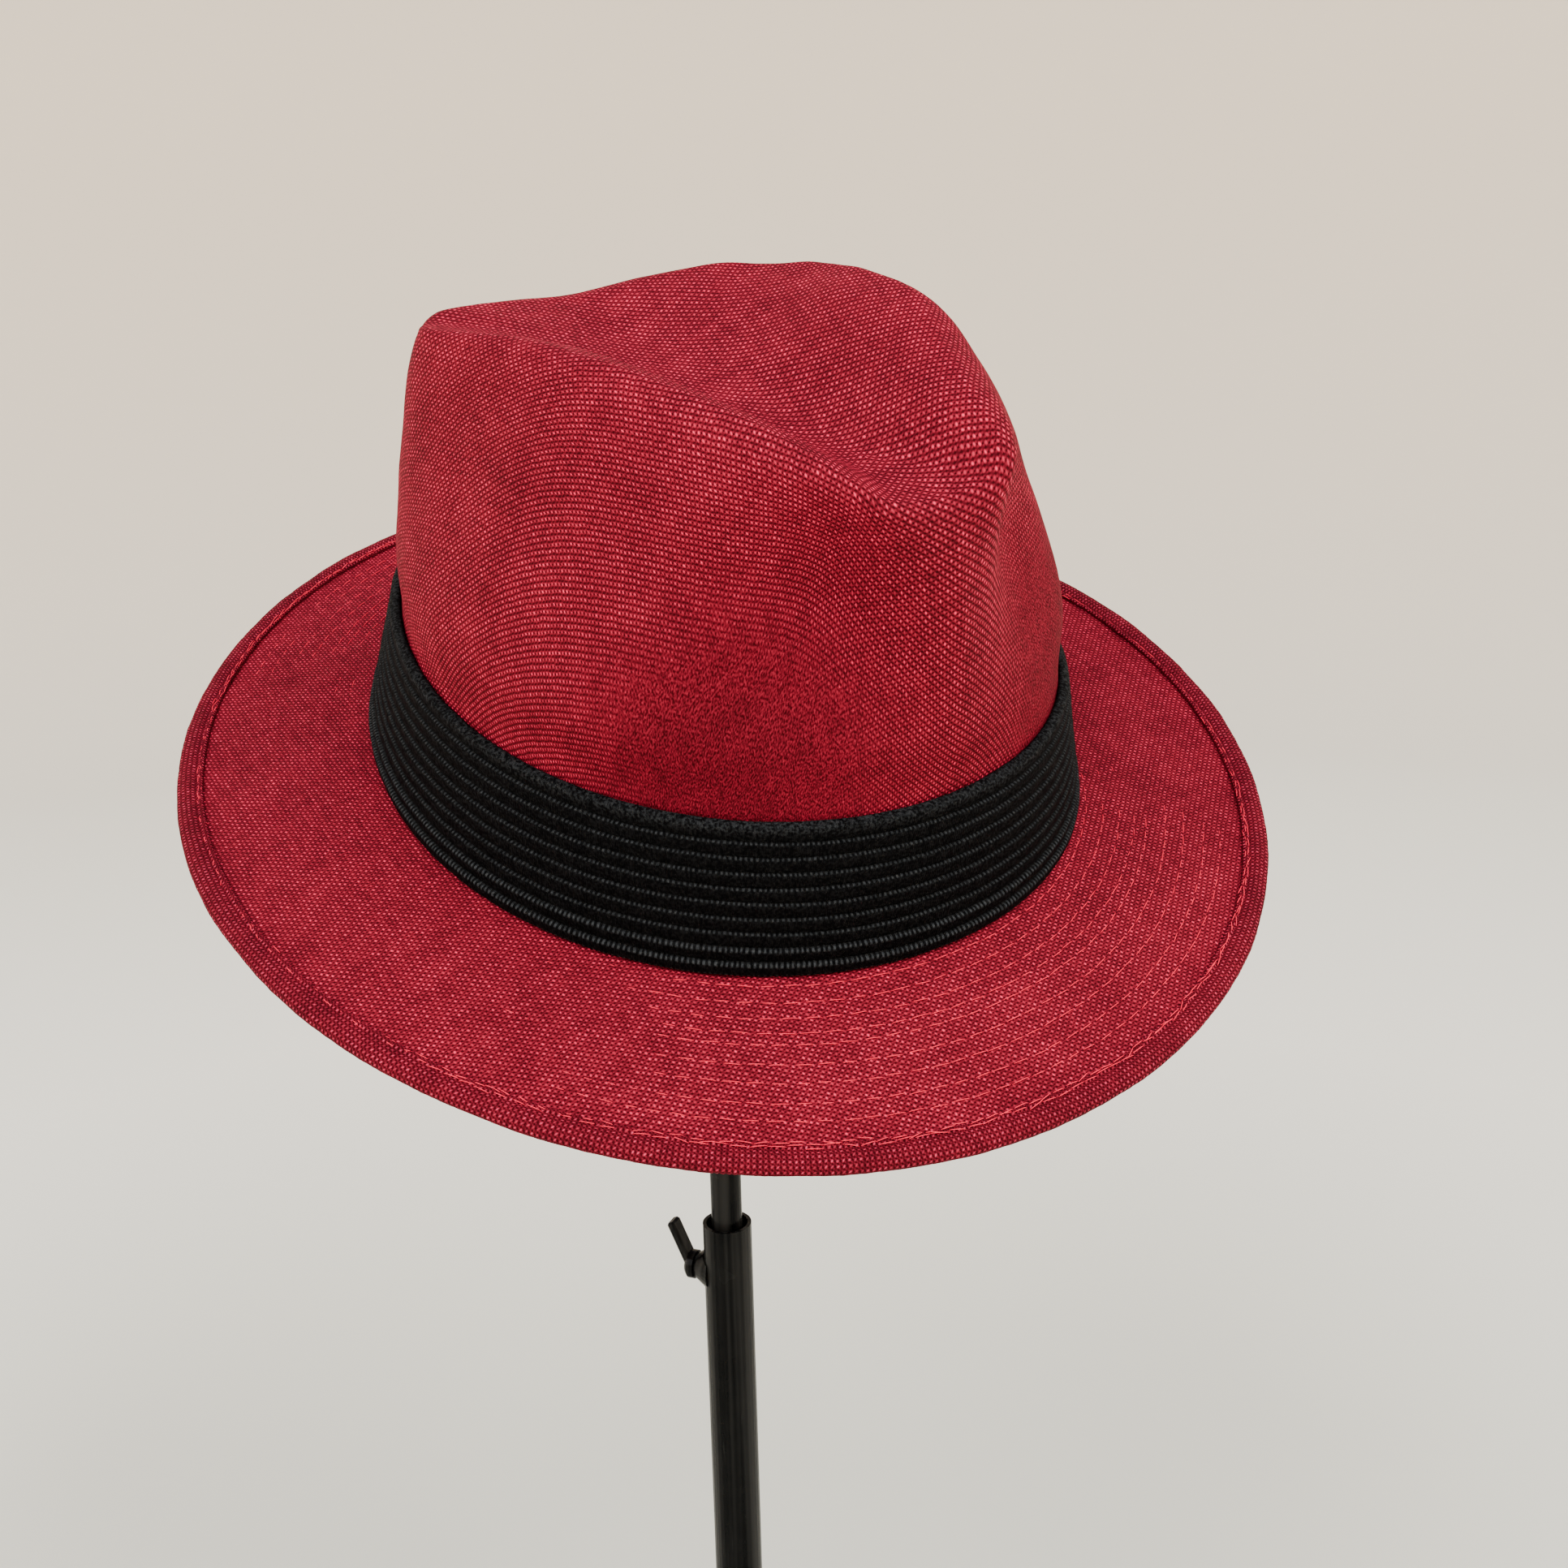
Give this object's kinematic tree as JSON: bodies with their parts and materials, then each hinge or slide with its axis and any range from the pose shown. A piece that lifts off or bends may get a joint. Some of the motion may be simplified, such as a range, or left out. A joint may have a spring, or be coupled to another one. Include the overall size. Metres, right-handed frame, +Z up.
{
  "type": "fedora on a hat stand",
  "caption": "Woven red fedora with a creased, pinched crown, pleated black band and hemmed snap brim, tipped forward on a round-footed telescoping hat stand.",
  "frame": {"origin": "middle of the stand's base, on the surface it stands on", "axes": "+Z up along the stand's pole; the hat's front points towards -Y and leans down, a little towards -X"},
  "size_m": [0.2621, 0.2756, 0.4397],
  "materials": {
    "red_cloth": "plain weave, matt",
    "black_ribbon": "ribbed ribbon, soft sheen",
    "black_paint": "gloss black paint, lightly scratched"
  },
  "bodies": {
    "root": {"crown": "red_cloth", "brim": "red_cloth", "brim_hem": "red_cloth", "hat_band": "black_ribbon", "stand_head": "black_paint", "stand_pole": "black_paint", "stand_sleeve": "black_paint", "screw_boss": "black_paint", "thumb_screw": "black_paint", "stand_base": "black_paint"}
  },
  "joints": []
}
